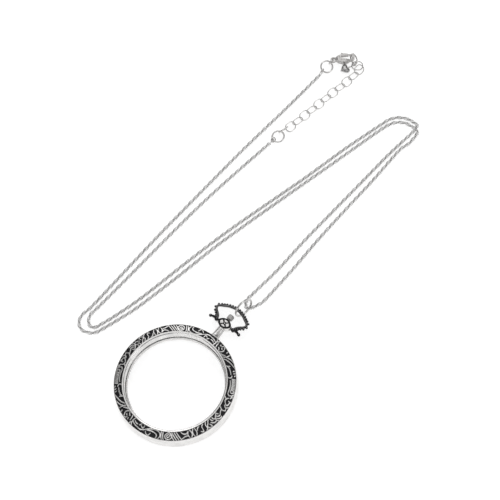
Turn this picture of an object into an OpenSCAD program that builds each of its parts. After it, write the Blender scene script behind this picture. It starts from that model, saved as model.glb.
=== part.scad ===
/* [Bezel] */
// Outside diameter of the bezel where its wall bulges most
bezel_d = 47; // [45:0.5:50]
// Clear opening inside the bezel
opening_d = 37.8; // [36.4:0.1:38.2]
// Height of the bezel from its back to the crest of the rim
bezel_h = 7.35; // [6.6:0.05:9]
// Width of the plain rim around the opening
rim_w = 0.7; // [0.5:0.05:0.9]
// How far the rim's inner edge lies below its crest
rim_drop = 0.3; // [0.1:0.05:0.5]
// Width of the relief band
band_w = 3.2; // [2.6:0.1:3.5]
// How far the relief band falls from the crest to the outside
band_drop = 0.9; // [0.5:0.05:1.3]
// Height of the widest part of the wall above the back
bulge_z = 1.5; // [1:0.1:3]
// How far the back edge draws in from the widest part
back_draw = 0.6; // [0.2:0.05:0.9]
// Depth of the ground between the raised ornaments
relief_depth = 0.4; // [0.2:0.05:0.6]
// Width of a raised stroke of the ornament
stroke_w = 0.44; // [0.3:0.02:0.48]
// Width of the ledge that the lens rests on
ledge_w = 0.75; // [0.5:0.05:1]
// Height of that ledge above the back
ledge_z = 2; // [1.6:0.1:2.4]

/* [Lens] */
// Thickness of the lens at its edge
lens_edge = 1.4; // [1:0.1:1.8]
// Rise of the convex face from the edge to the middle
lens_rise = 1.9; // [1:0.1:2.4]
// Gap between the lens and the bezel, at the side and at the ledge
lens_gap = 0.1; // [0.05:0.01:0.2]

/* [Neck and crown] */
// Height of the axis of the neck, the bow and the crown
neck_z = 3.45; // [3.3:0.05:3.7]
// Length of the neck from the widest part of the wall to the knob
neck_len = 4.1; // [3.6:0.1:5]
// Diameter of the neck where it leaves the wall
neck_d = 3.5; // [3:0.1:4]
// Diameter of the neck under the knob
neck_top_d = 2.9; // [2.4:0.1:3.2]
// Length of the pointed knob across
knob_l = 6; // [5.4:0.1:6.4]
// Width of the pointed knob along the neck
knob_w = 4; // [3.6:0.1:4.4]
// Thickness of the knob
knob_t = 3.1; // [2.8:0.1:3.6]
// Width of the plain edge around the knob's ornament
knob_edge = 0.3; // [0.2:0.05:0.5]
// Depth of the ground of the knob's ornament
knob_depth = 0.4; // [0.2:0.05:0.6]
// Diameter of the ears that the bow pins into
ear_d = 1.8; // [1.6:0.1:2]
// Distance between the ends of the two ears
ear_span = 5.8; // [5.4:0.1:6]
// Diameter of the crown
crown_d = 2.6; // [2.2:0.1:3]
// Length of the crown
crown_l = 2.1; // [1.6:0.1:2.6]
// Number of flats around the crown
crown_flats = 6; // [6:1:10]
// Diameter of the stalk between the knob and the crown
stalk_d = 1.5; // [1.2:0.1:1.8]
// Length of the stalk between the knob and the crown
stalk_l = 0.4; // [0.2:0.1:0.8]

/* [Bow] */
// Width of the bow from middle to middle of its bar
bow_w = 13.6; // [12.8:0.1:14.4]
// Rise of the bow's bar above its pins
bow_rise = 7.5; // [7:0.1:7.8]
// Width of the bow's bar
bow_bar = 1.05; // [0.9:0.05:1.3]
// Thickness of the bow's bar
bow_t = 1.5; // [1.2:0.1:1.7]
// Diameter of the beads along the bow's outer edge
bow_bead_d = 0.95; // [0.8:0.05:1.05]
// Number of beads on each half of the bow
bow_bead_count = 12; // [8:1:12]
// Diameter of the ball that ends each side scroll
ball_d = 1.3; // [1:0.1:1.5]
// Diameter of the bow's pins
bow_pin_d = 0.8; // [0.6:0.05:0.9]
// Length of the bow's pins inside the ears
bow_pin_l = 0.9; // [0.6:0.1:1.1]
// Running gap around and beside the bow's pins
bow_gap = 0.1; // [0.05:0.01:0.15]
// Diameter of the foot that the bar stands on beside each ear
bow_foot_d = 1.7; // [1.5:0.1:1.8]
// Length of plain bar between each foot and the first bead
bow_plain_l = 0.9; // [0.6:0.1:1.4]

/* [Bail] */
// Outside diameter of the bail ring
bail_d = 8.6; // [8.4:0.1:9]
// Wire diameter of the bail ring
bail_wire = 0.85; // [0.7:0.05:0.95]

/* [Chain] */
// Diameter of the rope chain
chain_d = 1.5; // [1.2:0.05:1.6]
// Outside diameter of the small ring at each end of the chain
chain_eye_d = 2.4; // [2.3:0.05:2.5]
// Wire diameter of those small rings
chain_eye_wire = 0.5; // [0.4:0.05:0.55]
// Outside diameter of the two jump rings
jump_d = 5.6; // [5.5:0.05:5.7]
// Wire diameter of the two jump rings
jump_wire = 0.7; // [0.6:0.05:0.75]

/* [Clasp] */
// Length of the claw from its back to its tip
claw_l = 8.3; // [8:0.1:8.6]
// Width of the claw's bar at its tip
claw_bar = 1.05; // [0.9:0.05:1.1]
// Width of the claw
claw_w = 4.5; // [4.3:0.1:4.7]
// Thickness of the claw's belly
claw_t = 2.6; // [2.4:0.1:2.8]
// Thickness of the claw's tip and of its tail eye
claw_end_t = 1; // [0.9:0.05:1.1]
// Height of the claw's underside, which the rings at its ends carry
clasp_lift = 0.3; // [0.2:0.05:0.4]
// Outside diameter of the tail eye
tail_eye_d = 2.5; // [2.4:0.05:2.6]
// Hole of the tail eye
tail_hole_d = 1.3; // [1.2:0.05:1.4]
// Diameter of the lever's pivot pin
pivot_d = 0.7; // [0.6:0.05:0.8]
// Running gap around the pivot pin
pivot_gap = 0.05; // [0.02:0.01:0.08]
// Thickness of the lever's bar
lever_t = 1.5; // [1.3:0.1:1.6]
// Thickness of the lever's ear between the cheeks of the claw
lever_ear_t = 0.9; // [0.8:0.05:1]
// Gap between the lever and the claw
lever_gap = 0.12; // [0.08:0.01:0.15]
// Outside diameter of the small ring between the clasp and the jump ring
clasp_link_d = 3; // [2.9:0.05:3.1]
// Wire diameter of that small ring
clasp_link_wire = 0.5; // [0.4:0.05:0.55]

/* [Extender] */
// Outside diameter of the ring that the claw hooks
end_ring_d = 5.05; // [5:0.05:5.1]
// Wire diameter of that ring
end_ring_wire = 0.65; // [0.55:0.05:0.7]
// Length of one link of the extender
link_l = 4.95; // [4.9:0.05:5]
// Width of one link of the extender
link_w = 3.9; // [3.8:0.05:4]
// Wire diameter of a link
link_wire = 0.45; // [0.35:0.05:0.5]
// Play between the ends of two links that hold each other
link_play = 0.13; // [0.11:0.01:0.15]
// Roll of the links to one side and the other of lying flat
link_roll = 24; // [22:1:28]

/* [Charm] */
// Width of the small heart
charm_w = 4.4; // [4:0.1:4.6]
// Thickness of the small heart
charm_t = 1.8; // [1.5:0.1:2]
// Outside diameter of the heart's eye
charm_eye_d = 2.1; // [2:0.05:2.2]
// Wire diameter of the heart's eye
charm_eye_wire = 0.5; // [0.4:0.05:0.55]
// Thickness of the neck between the heart and its eye
charm_neck_d = 0.6; // [0.5:0.05:0.7]

/* [Hidden] */
silver = [0.8, 0.8, 0.79];
dark_silver = [0.45, 0.45, 0.45];
overlap = 0.3;

// Bezel radii, from the opening outwards
opening_r = opening_d / 2;
bezel_r = bezel_d / 2;
rim_r = opening_r + rim_w;
band_r = rim_r + band_w;
band_z = bezel_h - band_drop;
ground_inset = 0.12;
lens_steps = 12;

// Neck, knob and crown, along +Y from the bezel
knob_y = bezel_r + neck_len + knob_w / 2;
knob_r = (knob_l * knob_l + knob_w * knob_w) / (4 * knob_w);
knob_shift = knob_r - knob_w / 2;
knob_top = neck_z + knob_t / 2;
stalk_y = knob_y + knob_w / 2;
ear_x = ear_span / 2;
bow_top_y = knob_y + bow_rise;
ear_bore_l = bow_pin_l + bow_gap;
petal_l = 1.2;
petal_w = 0.7;
petal_x = 1.5;
petal_y = 0.95;
centre_dot = 0.55;

// The ornament on the band: each row is one raised stroke through three points, given as the
// angle from the neck, clockwise, and the share of the band's width from its inner edge
STROKES = [
    [0, 0.70, 3.5, 0.66, 6.8, 0.52], [1.5, 0.40, 3.5, 0.42, 5.8, 0.30],
    [7.6, 0.68, 7.8, 0.40, 7.2, 0.06], [6, 0.95, 6.8, 0.85, 7.6, 0.68],
    [9.2, 0.92, 8.6, 0.78, 7.6, 0.68], [10.3, 0.66, 10.6, 0.38, 12, 0.06],
    [12.9, 0.80, 13.1, 0.72, 13.3, 0.64], [14.8, 0.70, 16.8, 0.95, 19, 0.70],
    [19, 0.70, 19.8, 0.38, 17.6, 0.08], [16, 0.60, 16.8, 0.56, 17.4, 0.50],
    [13.4, 0.36, 14.8, 0.30, 16.2, 0.14], [22.6, 0.96, 22.9, 0.86, 23.3, 0.74],
    [20.6, 0.10, 22.8, 0.20, 25, 0.44], [26.6, 0.90, 26.8, 0.50, 25.4, 0.08],
    [27.8, 0.48, 30.2, 0.76, 34.5, 0.98], [28, 0.12, 33, 0.56, 40.5, 0.97],
    [37.4, 0.48, 37.2, 0.30, 36.4, 0.10], [36.4, 0.12, 40, 0.36, 46.5, 0.42],
    [43, 0.86, 43.4, 0.80, 43.7, 0.72], [45.6, 0.92, 45.9, 0.84, 46, 0.74],
    [48, 0.92, 48.4, 0.86, 48.8, 0.80], [48, 0.50, 49.4, 0.48, 50.4, 0.34],
    [50.4, 0.34, 50.2, 0.20, 49.4, 0.10], [51.4, 0.52, 57.5, 0.58, 64, 0.50],
    [64.6, 0.90, 66, 0.68, 64.4, 0.46], [53, 0.30, 59, 0.36, 66, 0.26],
    [66, 0.98, 68.4, 0.80, 68.8, 0.55], [68.8, 0.55, 68.6, 0.40, 67.2, 0.28],
    [70.6, 0.97, 69.6, 0.84, 71.6, 0.72], [71.6, 0.56, 74, 0.26, 77.4, 0.38],
    [77.4, 0.38, 79.2, 0.66, 76.4, 0.80], [76.4, 0.80, 75, 0.80, 74.6, 0.62],
    [75.4, 0.98, 75, 0.90, 74.8, 0.80], [70.8, 0.08, 72, 0.16, 73.4, 0.28],
    [79.6, 0.97, 81.6, 0.72, 79.8, 0.42], [82.6, 0.74, 84.6, 0.78, 85.2, 0.48],
    [85.2, 0.48, 84.4, 0.24, 82.8, 0.06], [85.2, 0.38, 87.6, 0.42, 90.2, 0.62],
    [94.8, 0.98, 96.4, 0.58, 91.6, 0.10], [90.4, 0.84, 93.4, 0.84, 95, 0.58],
    [90.4, 0.60, 92.6, 0.58, 93.8, 0.36], [90.8, 0.36, 91.3, 0.30, 91.8, 0.20],
    [97.2, 0.74, 99.6, 0.76, 102.2, 0.50], [97, 0.46, 98, 0.36, 98, 0.14],
    [99.6, 0.46, 100.4, 0.34, 100.6, 0.12], [104, 0.56, 103.2, 0.86, 105.2, 0.94],
    [105.2, 0.94, 107, 0.66, 105, 0.38], [105, 0.38, 104, 0.20, 102.4, 0.08],
    [109.8, 0.92, 108.2, 0.84, 108, 0.60], [108, 0.60, 107.8, 0.30, 106.2, 0.08],
    [114.8, 0.72, 112.8, 0.86, 112.2, 0.50], [112.2, 0.50, 112, 0.28, 110.2, 0.12],
    [117.4, 0.44, 116.6, 0.22, 114.8, 0.14], [120, 0.90, 118.8, 0.55, 119.8, 0.12],
    [121.6, 0.94, 122.8, 0.50, 121.4, 0.08], [125, 0.92, 123.6, 0.50, 125.4, 0.10],
    [126.6, 0.88, 127.8, 0.55, 127, 0.24], [128.6, 0.66, 131.2, 0.70, 134.6, 0.92],
    [127, 0.18, 130.2, 0.42, 134.2, 0.16], [143.6, 0.52, 145.4, 0.78, 147.6, 0.86],
    [147.6, 0.86, 149.8, 0.76, 151, 0.50], [151, 0.50, 149.4, 0.26, 146.6, 0.10],
    [146.6, 0.10, 144.6, 0.28, 143.6, 0.52], [145.9, 0.40, 147, 0.60, 148.6, 0.62],
    [146.8, 0.30, 148.2, 0.40, 149.4, 0.52], [151.8, 0.94, 153, 0.50, 153, 0.06],
    [153.6, 0.94, 154.9, 0.50, 155, 0.06], [157.2, 0.92, 155.6, 0.60, 156.8, 0.26],
    [156.8, 0.26, 159.4, 0.08, 164, 0.06], [159.6, 0.92, 159.2, 0.60, 161.4, 0.42],
    [161.4, 0.42, 165.4, 0.34, 169.6, 0.44], [163, 0.06, 168, 0.20, 172, 0.46],
    [172, 0.46, 176, 0.72, 180, 0.70], [165.6, 0.60, 167.8, 0.94, 171, 0.62],
    [174, 0.14, 174.8, 0.46, 177, 0.34], [177.8, 0.12, 178.6, 0.28, 179.6, 0.36]
];
// Rows of like strokes: the first stroke, the step in degrees and how many there are
ROWS = [
    [[51.4, 0.60, 51.65, 0.76, 51.9, 0.92], 1.45, 9],
    [[134.6, 0.94, 136.6, 0.56, 139.2, 0.08], 2.4, 4]
];
stroke_steps = 4;

// The bow's right half from pin to top, as shares of half its width and of its rise
BOW_LINE = [[0.58, 0.02], [0.64, 0.18], [0.8, 0.32], [0.98, 0.46], [1, 0.64], [0.72, 0.795],
    [0.427, 0.93], [0, 1]];
// The side scroll from the bow's foot to its ball, as shares of the same two sizes
SCROLL_LINE = [[0.6, 0.06], [0.79, 0.03], [1, -0.02]];
bow_steps = 3;
bead_seat = 0.12;
bead_out = 0.05;

// Place of the bail, measured from the top of the bow's bar, then its heading and tilt
BAIL_AT = [1.74, 1.98, 0.83, -99, 98.9];
// Places of the rings: middle x, y and z, then heading and tilt in degrees
END_RING_AT = [-30.59, 155.5, 2.56, -21, 73.5];
CHARM_EYE_AT = [-29.61, 154.58, 0.95, 71, 55];
EXT_FIRST_AT = [-27.89, 154.29, 1.41, -148.5, -38.5];
// Places of the pieces that hang on the claw's tail eye, measured in x and y from its middle
CLASP_LINK_AT = [-0.21, -1.25, 1.53, 80, 104];
JUMP_RING_A_AT = [-0.38, -4.16, 1.35, 67, 23];
CHAIN_EYE_A_AT = [-0.79, -6.76, 1.2, 82, 102];
// Places of the pieces below the extender's row, measured in x and y from the row's last link
EXT_LAST_AT = [-1.19, -3.25, 1.83, -107, 67.5];
JUMP_RING_B_AT = [-1.2, -6.81, 1.33, -14, 9];
CHAIN_EYE_B_AT = [-1.92, -9.11, 1.05, 75, 58];
// Middle and turn of the heart, which lies flat, and the place of its neck around the eye
CHARM_AT = [-31.35, 150.24, -25.6];
CHARM_NECK_A = 212.4;

// Middle of the chain from jump ring A round to jump ring B: x, y and the lift off the surface.
// Rows with a fourth entry are the loop through the bail, their y measured from the bow's top.
// The first row is measured from the claw's tail eye and the last one from the extender's row
CHAIN_ROUTE = [
    [-0.41, -8.26, 0], [-39.5, 123.6, 0], [-41.2, 106.2, 0], [-42.7, 89, 0], [-44.9, 55.6, 0],
    [-45.8, 39.2, 0], [-47.1, 7.3, 0], [-47.8, 2.3, 0], [-47.7, -0.6, 0], [-46.4, -2.7, 0],
    [-44.2, -3.9, 0], [-41.7, -3.5, 0], [-39.1, -1.9, 0], [-37.6, 1.2, 0], [-35.1, 8, 0],
    [-32.3, 16.8, 0], [-28.1, 35.1, 0], [-24.2, 53.9, 0], [-19.4, 72.6, 0], [-14.2, 91.6, 0],
    [-8.9, 110.8, 0], [-3.6, 130.4, 0], [-1.4, 137.8, 0], [-0.2, 140.2, 0], [1.3, 141.9, 0],
    [3.9, 143.4, 0], [6.5, 143.6, 0], [8.9, 143.5, 0], [10.5, 142.6, 0], [10.8, 139.7, 0],
    [10.5, 135.8, 0], [9.3, 131.2, 0], [8.6, 113.8, 0], [7.5, 96.8, 0], [6.6, 80.2, 0],
    [6.2, 63.7, 0], [5.4, 10.8, 0.1, 1], [4.85, 7.65, 0.5, 1], [4.2, 5.65, 1.1, 1],
    [3.55, 3.95, 1.6, 1], [2.5, 3.25, 2.05, 1], [1.45, 3.55, 1.75, 1], [0.4, 5.25, 1.3, 1],
    [0, 7.25, 0.75, 1], [0.1, 9.4, 0.25, 1], [0.2, 11.4, 0, 1],
    [1.6, 60.4, 0], [2.5, 76.8, 0], [3.9, 93.3, 0], [5.4, 110.2, 0],
    [6.9, 127.4, 0], [8.2, 137, 0], [8.9, 140.4, 0.8], [9.4, 142.6, 1.75], [8.9, 144.6, 1.45],
    [6.3, 145.6, 0.3], [3.4, 145.5, 0], [0.1, 143.9, 0], [-2.1, 141.3, 0], [-3.2, 138.5, 0],
    [-6.1, 128.9, 0], [-9, 119, 0], [-14, 99.5, 0], [-19.4, 80.5, 0], [-24.6, 61.7, 0],
    [-29, 42.9, 0], [-32.9, 24.3, 0], [-35.1, 15.3, 0], [-37.8, 6.6, 0], [-39.3, 2.6, 0],
    [-39.9, 0.8, 0], [-41.2, -0.7, 0], [-43.2, -0.5, 0], [-44.7, 1.1, 0], [-45.4, 3.4, 0],
    [-45, 6.4, 0], [-43.8, 21.9, 0], [-41.5, 54.1, 0], [-39.9, 70.6, 0], [-37.7, 87.2, 0],
    [-2.14, -10.6, 0]
];
chain_sides = 8;

// Middle line of the extender's links from the second one down to the last but one
EXT_ROUTE = [[-26.34, 153.37], [-26.41, 149.52], [-27.03, 145.56], [-28.57, 137.96], [-30.8, 126.3],
    [-33, 114.9], [-34.4, 109]];
ext_links = 13;
link_pitch = link_l - 2 * link_wire - link_play;
lying_gap = 0.02;
heart_sides = 36;
heart_levels = 4;

// Clasp: the claw's frame has u along it from the tail to the tip, and v to its left
CLASP_AT = [-34.6, 153.6];
clasp_heading = 43.5;
claw_tip_u = 4.85;
claw_back_u = claw_tip_u - claw_l;
claw_tip_r = 1.5;
claw_back_r = 1;
mouth_r = 1.05;
tail_u = claw_back_u - tail_eye_d / 2 + 0.5;
tail_spot = CLASP_AT + [cos(clasp_heading), sin(clasp_heading)] * tail_u;
claw_mid_z = claw_t / 2;
claw_slope_u = 1.1;
claw_thin_u = 2.7;
pivot_u = claw_back_u + 1.7;
pivot_v = 0.7;
ear_r = 0.8;
lever_tip_u = 2.4;
lever_cut_v = 0.55;
thumb_d = 1;

// Points of a smooth line through the given ones
function bent(p, i, t) =
    let (a = p[max(i - 1, 0)], b = p[i], c = p[i + 1], d = p[min(i + 2, len(p) - 1)])
    b + (c - a) * t / 2 + (2 * a - 5 * b + 4 * c - d) * t * t / 2
    + (3 * b - a - 3 * c + d) * t * t * t / 2;
function smooth_line(p, steps) =
    concat([for (i = [0 : len(p) - 2]) for (k = [0 : steps - 1]) bent(p, i, k / steps)],
        [p[len(p) - 1]]);
function unit(v) = v / norm(v);
function along(p, i) = unit(p[min(i + 1, len(p) - 1)] - p[max(i - 1, 0)]);
function left_of(v) = [-v[1], v[0]];
// The point and the direction at distance s along a line
function walk(p, s, i = 0) =
    let (step = norm(p[i + 1] - p[i]))
    s <= step || i + 2 >= len(p)
        ? [p[i] + (p[i + 1] - p[i]) * s / step, unit(p[i + 1] - p[i])]
        : walk(p, s - step, i + 1);
function line_length(p, i = 0) =
    i + 1 >= len(p) ? 0 : norm(p[i + 1] - p[i]) + line_length(p, i + 1);
// A point of the band from its angle and its share of the width
function on_band(s, r) = [(rim_r + band_w * r) * sin(s), (rim_r + band_w * r) * cos(s)];
// A curve through the three points of a stroke's row
function stroke_line(k) =
    let (a = on_band(k[0], k[1]), b = on_band(k[2], k[3]), c = on_band(k[4], k[5]),
         lift = b - (a + c) / 2)
    [for (i = [0 : stroke_steps]) let (t = i / stroke_steps) a + (c - a) * t + lift * 4 * t * (1 - t)];

// A flat bar of one width along a line
module ribbon(p, w) {
    last = len(p) - 1;
    polygon(concat(
        [for (i = [0 : last]) p[i] + left_of(along(p, i)) * w / 2],
        [for (i = [last : -1 : 0]) p[i] - left_of(along(p, i)) * w / 2]));
}

// A round ring lying about the origin
module ring(d, wire) {
    rotate_extrude($fn = 64)
        translate([(d - wire) / 2, 0])
            circle(d = wire, $fn = 24);
}

// Puts a ring at its place
module at(place) {
    translate([place[0], place[1], place[2]])
        rotate([place[4], 0, place[3]])
            children();
}

// Puts a ring at its place beside a spot on the surface
module beside(spot, place) {
    translate([spot[0], spot[1], 0])
        at(place)
            children();
}

// The point at an angle around a ring that lies at its place
function on_ring(place, r, a) =
    let (u = r * cos(a), v = r * sin(a), h = place[3], t = place[4])
    [place[0] + u * cos(h) - v * sin(h) * cos(t), place[1] + u * sin(h) + v * cos(h) * cos(t),
        place[2] + v * sin(t)];

module stroke(k) {
    ribbon(stroke_line(k), stroke_w);
}

module ornament() {
    for (half = [0, 180])
        rotate(half) {
            for (k = STROKES)
                stroke(k);
            for (row = ROWS)
                for (i = [0 : row[2] - 1])
                    stroke(row[0] + [1, 0, 1, 0, 1, 0] * row[1] * i);
        }
}

// The bezel's section, turned about its axis
module bezel_ring() {
    rotate_extrude($fn = 96)
        polygon([
            [opening_r - ledge_w, 0], [opening_r - ledge_w, ledge_z], [opening_r, ledge_z],
            [opening_r, bezel_h - rim_drop], [opening_r + rim_w * 0.35, bezel_h - rim_drop * 0.3],
            [rim_r, bezel_h], [rim_r + ground_inset, bezel_h], [band_r, band_z],
            [band_r + (bezel_r - band_r) * 0.35, band_z - 0.35],
            [band_r + (bezel_r - band_r) * 0.75, (band_z + bulge_z) / 2],
            [bezel_r, bulge_z], [bezel_r - back_draw * 0.25, bulge_z * 0.4],
            [bezel_r - back_draw, 0]
        ]);
}

// What is cut from the band down to its ground, with the ornament left standing
module relief_cut() {
    difference() {
        rotate_extrude($fn = 96)
            polygon([
                [rim_r + 2 * ground_inset, bezel_h - relief_depth],
                [band_r - ground_inset, band_z - relief_depth],
                [band_r - ground_inset, bezel_h + overlap],
                [rim_r + 2 * ground_inset, bezel_h + overlap]
            ]);
        translate([0, 0, band_z - 1])
            linear_extrude(band_drop + 2)
                offset(delta = 0.001)
                    ornament();
    }
}

// The knob's pointed outline, drawn in by an edge
module pointed(edge) {
    intersection_for (side = [-1, 1])
        translate([0, side * knob_shift])
            circle(r = knob_r - edge, $fn = 96);
}

// A petal of the knob's ornament, pointed at both ends along the knob
module petal() {
    r = (petal_l * petal_l + petal_w * petal_w) / (4 * petal_w);
    intersection_for (side = [-1, 1])
        translate([0, side * (r - petal_w / 2)])
            circle(r = r, $fn = 48);
}

module knob_ground_cut() {
    linear_extrude(knob_depth + overlap)
        difference() {
            pointed(knob_edge);
            circle(d = centre_dot, $fn = 24);
            for (spot = [[petal_x, 0], [0, petal_y], [-petal_x, 0], [0, -petal_y]])
                translate(spot)
                    petal();
        }
}

module neck() {
    translate([0, bezel_r - 1.4, neck_z])
        rotate([-90, 0, 0])
            cylinder(h = neck_len + 1.4 + knob_w * 0.2, d1 = neck_d, d2 = neck_top_d, $fn = 48);
}

module crown() {
    translate([0, stalk_y - overlap, neck_z])
        rotate([-90, 0, 0]) {
            cylinder(h = overlap + stalk_l + overlap, d = stalk_d, $fn = 32);
            translate([0, 0, overlap + stalk_l])
                cylinder(h = crown_l * 0.2, d1 = crown_d - 0.6, d2 = crown_d, $fn = crown_flats);
            translate([0, 0, overlap + stalk_l + crown_l * 0.2])
                cylinder(h = crown_l * 0.6, d = crown_d, $fn = crown_flats);
            translate([0, 0, overlap + stalk_l + crown_l * 0.8])
                cylinder(h = crown_l * 0.2, d1 = crown_d, d2 = crown_d - 0.6, $fn = crown_flats);
        }
}

module bezel() {
    color(silver)
        difference() {
            union() {
                difference() {
                    union() {
                        bezel_ring();
                        neck();
                    }
                    cylinder(r = opening_r - ledge_w, h = 3 * bezel_h, center = true, $fn = 96);
                    translate([0, 0, ledge_z])
                        cylinder(r = opening_r, h = bezel_h, $fn = 96);
                    relief_cut();
                }
                translate([0, knob_y, neck_z - knob_t / 2])
                    linear_extrude(knob_t)
                        pointed(0);
                translate([-ear_x, knob_y, neck_z])
                    rotate([0, 90, 0])
                        cylinder(h = ear_span, d = ear_d, $fn = 32);
                crown();
            }
            translate([0, knob_y, knob_top - knob_depth])
                knob_ground_cut();
            for (side = [-1, 1])
                translate([side * (ear_x - ear_bore_l), knob_y, neck_z])
                    rotate([0, side * 90, 0])
                        cylinder(h = ear_bore_l + overlap, d = bow_pin_d + 2 * bow_gap, $fn = 32);
        }
}

// The lens is flat below and domed above
module lens() {
    lens_r = opening_r - lens_gap;
    dome_r = (lens_r * lens_r + lens_rise * lens_rise) / (2 * lens_rise);
    dome = [for (i = [0 : lens_steps])
        let (r = lens_r * (1 - i / lens_steps))
        [r, lens_edge + lens_rise - dome_r + sqrt(dome_r * dome_r - r * r)]];
    color([0.85, 0.93, 0.95, 0.4])
        translate([0, 0, ledge_z + lens_gap])
            rotate_extrude($fn = 96)
                polygon(concat([[0, 0], [lens_r, 0]], dome));
}

// A turned bead, standing on its axis
module bead(d) {
    r = d / 2;
    rotate_extrude($fn = 32)
        polygon([[0, -r], [r * 0.5, -r * 0.9], [r * 0.88, -r * 0.5], [r, 0],
            [r * 0.88, r * 0.5], [r * 0.5, r * 0.9], [0, r]]);
}

module bow() {
    foot_r = bow_foot_d / 2;
    foot_x = max(ear_x, knob_l / 2) + bow_gap + foot_r;
    size = [bow_w / 2, bow_rise];
    half = [for (p = BOW_LINE) [p[0] * size[0], p[1] * size[1]]];
    whole = concat(half, [for (i = [len(half) - 2 : -1 : 0]) [-half[i][0], half[i][1]]]);
    bar = smooth_line(whole, bow_steps);
    top = line_length(bar) / 2;
    bead_step = (top - bow_plain_l) / bow_bead_count;
    scroll = smooth_line([for (p = SCROLL_LINE) [p[0] * size[0], p[1] * size[1]]], bow_steps);
    last = len(scroll) - 1;
    ball_at = scroll[last] + along(scroll, last) * bead_seat;
    color(dark_silver)
        translate([0, knob_y, neck_z]) {
            translate([0, 0, -bow_t / 2])
                linear_extrude(bow_t) {
                    ribbon(bar, bow_bar);
                    for (side = [-1, 1])
                        translate([side * foot_x, 0])
                            circle(r = foot_r, $fn = 32);
                    ribbon(scroll, bow_bar * 0.7);
                    mirror([1, 0])
                        ribbon(scroll, bow_bar * 0.7);
                }
            for (i = [-bow_bead_count : bow_bead_count]) {
                spot = walk(bar, top + i * bead_step);
                edge = spot[0] - left_of(spot[1]) * (bow_bar / 2 + bead_out);
                translate([edge[0], edge[1], 0])
                    bead(bow_bead_d);
            }
            for (side = [-1, 1]) {
                translate([side * ball_at[0], ball_at[1], 0])
                    bead(ball_d);
                translate([side * (ear_x - bow_pin_l), 0, 0])
                    rotate([0, side * 90, 0])
                        cylinder(h = bow_pin_l - ear_x + foot_x, d = bow_pin_d, $fn = 32);
            }
        }
}

module bail() {
    color(silver)
        translate([0, bow_top_y, neck_z])
            at(BAIL_AT)
                ring(bail_d, bail_wire);
}

// One closed tube swept along the route, with a ring of points at each of its places
module chain() {
    r = chain_d / 2;
    count = len(CHAIN_ROUTE);
    line = [for (i = [0 : count - 1])
        let (p = CHAIN_ROUTE[i],
             from = len(p) > 3 ? [0, bow_top_y] : i == 0 ? tail_spot : i == count - 1 ? row_end : [0, 0])
        [p[0] + from[0], p[1] + from[1], p[2] + r]];
    points = [for (i = [0 : count - 1])
        let (t = along(line, i), side = unit(cross(t, [0, 0, 1])), up = cross(side, t))
        for (k = [0 : chain_sides - 1])
            let (a = (k + 0.5) * 360 / chain_sides)
            line[i] + (side * cos(a) + up * sin(a)) * r];
    walls = [for (i = [0 : count - 2], k = [0 : chain_sides - 1])
        let (a = i * chain_sides + k, b = i * chain_sides + (k + 1) % chain_sides)
        each [[a, b, b + chain_sides], [a, b + chain_sides, a + chain_sides]]];
    start = [for (k = [0 : chain_sides - 1]) chain_sides - 1 - k];
    finish = [for (k = [0 : chain_sides - 1]) (count - 1) * chain_sides + k];
    color(silver)
        polyhedron(points = points, faces = concat(walls, [start], [finish]));
}

module chain_eye_a() {
    color(silver)
        beside(tail_spot, CHAIN_EYE_A_AT)
            ring(chain_eye_d, chain_eye_wire);
}

module chain_eye_b() {
    color(silver)
        beside(row_end, CHAIN_EYE_B_AT)
            ring(chain_eye_d, chain_eye_wire);
}

module jump_ring_a() {
    color(silver)
        beside(tail_spot, JUMP_RING_A_AT)
            ring(jump_d, jump_wire);
}

module jump_ring_b() {
    color(silver)
        beside(row_end, JUMP_RING_B_AT)
            ring(jump_d, jump_wire);
}

module clasp_link() {
    color(silver)
        beside(tail_spot, CLASP_LINK_AT)
            ring(clasp_link_d, clasp_link_wire);
}

module end_ring() {
    color(silver)
        at(END_RING_AT)
            ring(end_ring_d, end_ring_wire);
}

module clasp_frame() {
    translate([CLASP_AT[0], CLASP_AT[1], clasp_lift])
        rotate(clasp_heading)
            children();
}

// The claw's outline from above
module claw_outline() {
    hull() {
        translate([claw_back_u + claw_back_r, 0])
            circle(r = claw_back_r, $fn = 32);
        translate([0.4, 0])
            circle(r = claw_w / 2, $fn = 48);
        translate([claw_tip_u - claw_tip_r, 0])
            circle(r = claw_tip_r, $fn = 32);
    }
}

// The opening inside the claw and its lever
module claw_opening() {
    hull() {
        translate([-0.2, 0.3])
            circle(r = 0.8, $fn = 32);
        translate([claw_tip_u - claw_bar - mouth_r, 0.05])
            circle(r = mouth_r, $fn = 32);
    }
}

// The side view of the claw, thick in its belly and thin at its tail and tip
module claw_side(trim) {
    rotate([90, 0, 0])
        linear_extrude(3 * claw_w, center = true)
            offset(delta = -trim)
                polygon([
                    [tail_u - tail_eye_d, claw_mid_z - claw_end_t / 2],
                    [claw_back_u + 0.1, claw_mid_z - claw_end_t / 2],
                    [claw_back_u + 1.2, 0], [claw_slope_u, 0],
                    [claw_thin_u, claw_mid_z - claw_end_t / 2],
                    [claw_tip_u + 1, claw_mid_z - claw_end_t / 2],
                    [claw_tip_u + 1, claw_mid_z + claw_end_t / 2],
                    [claw_thin_u, claw_mid_z + claw_end_t / 2],
                    [claw_slope_u, claw_t], [claw_back_u + 1.2, claw_t],
                    [claw_back_u + 0.1, claw_mid_z + claw_end_t / 2],
                    [tail_u - tail_eye_d, claw_mid_z + claw_end_t / 2]
                ]);
}

// The lever's bar from above, from beside the pivot to the mouth
module lever_bar(grow) {
    intersection() {
        offset(delta = grow > 0 ? 1 : 0)
            difference() {
                claw_outline();
                claw_opening();
            }
        polygon([
            [pivot_u - grow, lever_cut_v - 0.2 - grow], [pivot_u + 1, lever_cut_v - grow],
            [lever_tip_u + grow, lever_cut_v - grow], [lever_tip_u + grow, claw_w],
            [pivot_u - grow, claw_w]
        ]);
    }
}

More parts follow.
